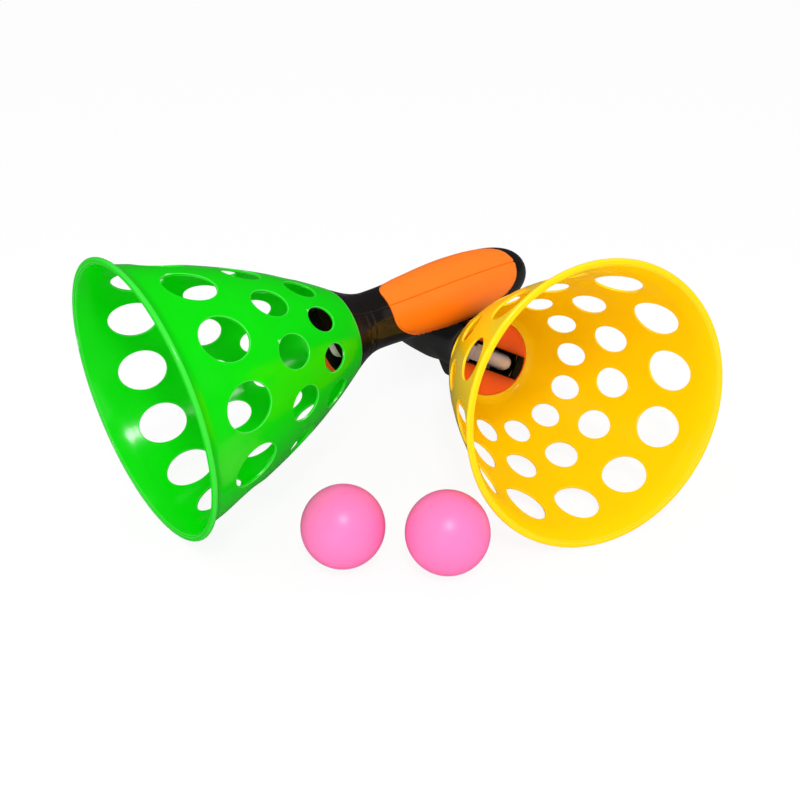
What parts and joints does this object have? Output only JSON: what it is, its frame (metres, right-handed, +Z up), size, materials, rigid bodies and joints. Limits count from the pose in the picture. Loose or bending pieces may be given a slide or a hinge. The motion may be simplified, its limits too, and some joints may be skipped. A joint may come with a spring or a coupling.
{
  "type": "ball catch toy set",
  "caption": "Hand-held launch-and-catch baskets with pierced conical cups, black handles, orange grips, sprung launch levers and triggers, with loose pink balls.",
  "frame": {"origin": "middle of the whole set's bounding box, on the table", "axes": "+Z up from the table, +X to the right and -Y toward the viewer of the picture"},
  "size_m": [0.329, 0.2926, 0.1404],
  "materials": {
    "green_plastic": "semi gloss, slightly translucent",
    "yellow_plastic": "semi gloss, slightly translucent",
    "black_plastic": "polished",
    "orange_grip": "soft touch satin",
    "orange_plastic": "satin",
    "pale_plastic": "satin",
    "pink_ball": "satin",
    "steel": "ground",
    "spring_steel": "drawn",
    "screw_steel": "zinc plated"
  },
  "bodies": {
    "yellow_catcher": {"yellow_cup": "yellow_plastic", "yellow_handle_left": "black_plastic", "yellow_handle_right": "black_plastic", "yellow_grip_left": "orange_grip", "yellow_grip_right": "orange_grip", "yellow_ball_seat": "orange_plastic", "yellow_lever_pin": "steel", "yellow_trigger_pin": "steel", "yellow_case_screws": "screw_steel"},
    "yellow_lever": {"yellow_launch_lever": "pale_plastic", "yellow_lever_spring": "spring_steel"},
    "yellow_trigger_arm": {"yellow_trigger": "black_plastic", "yellow_trigger_spring": "spring_steel"},
    "green_catcher": {"green_cup": "green_plastic", "green_handle_left": "black_plastic", "green_handle_right": "black_plastic", "green_grip_left": "orange_grip", "green_grip_right": "orange_grip", "green_ball_seat": "orange_plastic", "green_lever_pin": "steel", "green_trigger_pin": "steel", "green_case_screws": "screw_steel"},
    "green_lever": {"green_launch_lever": "pale_plastic", "green_lever_spring": "spring_steel"},
    "green_trigger_arm": {"green_trigger": "black_plastic", "green_trigger_spring": "spring_steel"},
    "left_ball": {"ball_left": "pink_ball"},
    "right_ball": {"ball_right": "pink_ball"}
  },
  "joints": [
    {"name": "yellow_lever_hinge", "type": "hinge", "parent": "yellow_catcher", "child": "yellow_lever", "pos_m": [0.0449, 0.00992, 0.04902], "axis": [0.3636, 0.3495, 0.8635], "range_deg": [0, 20], "stiffness_Nm_per_rad": 0.02, "springref_deg": -11.46},
    {"name": "yellow_trigger_hinge", "type": "hinge", "parent": "yellow_catcher", "child": "yellow_trigger_arm", "pos_m": [0.0473, 0.02471, 0.03137], "axis": [0.8601, 0.2301, -0.4553], "range_deg": [0, 8], "stiffness_Nm_per_rad": 0.02, "springref_deg": -17.19},
    {"name": "green_lever_hinge", "type": "hinge", "parent": "green_catcher", "child": "green_lever", "pos_m": [-0.03474, -0.00867, 0.08199], "axis": [0.4633, -0.5567, 0.6895], "range_deg": [0, 20], "stiffness_Nm_per_rad": 0.02, "springref_deg": -11.46},
    {"name": "green_trigger_hinge", "type": "hinge", "parent": "green_catcher", "child": "green_trigger_arm", "pos_m": [-0.02037, 0.00019, 0.06616], "axis": [0.4591, -0.5147, -0.7241], "range_deg": [0, 8], "stiffness_Nm_per_rad": 0.02, "springref_deg": -17.19},
    {"name": "green_lift_off", "type": "slide", "parent": "yellow_catcher", "child": "green_catcher", "axis": [-0.7032, -0.6048, 0.3737], "range_m": [0, 0.24]},
    {"name": "left_ball_pick_up", "type": "slide", "parent": "yellow_catcher", "child": "left_ball", "axis": [0, -0.7071, 0.7071], "range_m": [0, 0.15]},
    {"name": "right_ball_pick_up", "type": "slide", "parent": "yellow_catcher", "child": "right_ball", "axis": [0, -0.7071, 0.7071], "range_m": [0, 0.15]}
  ]
}
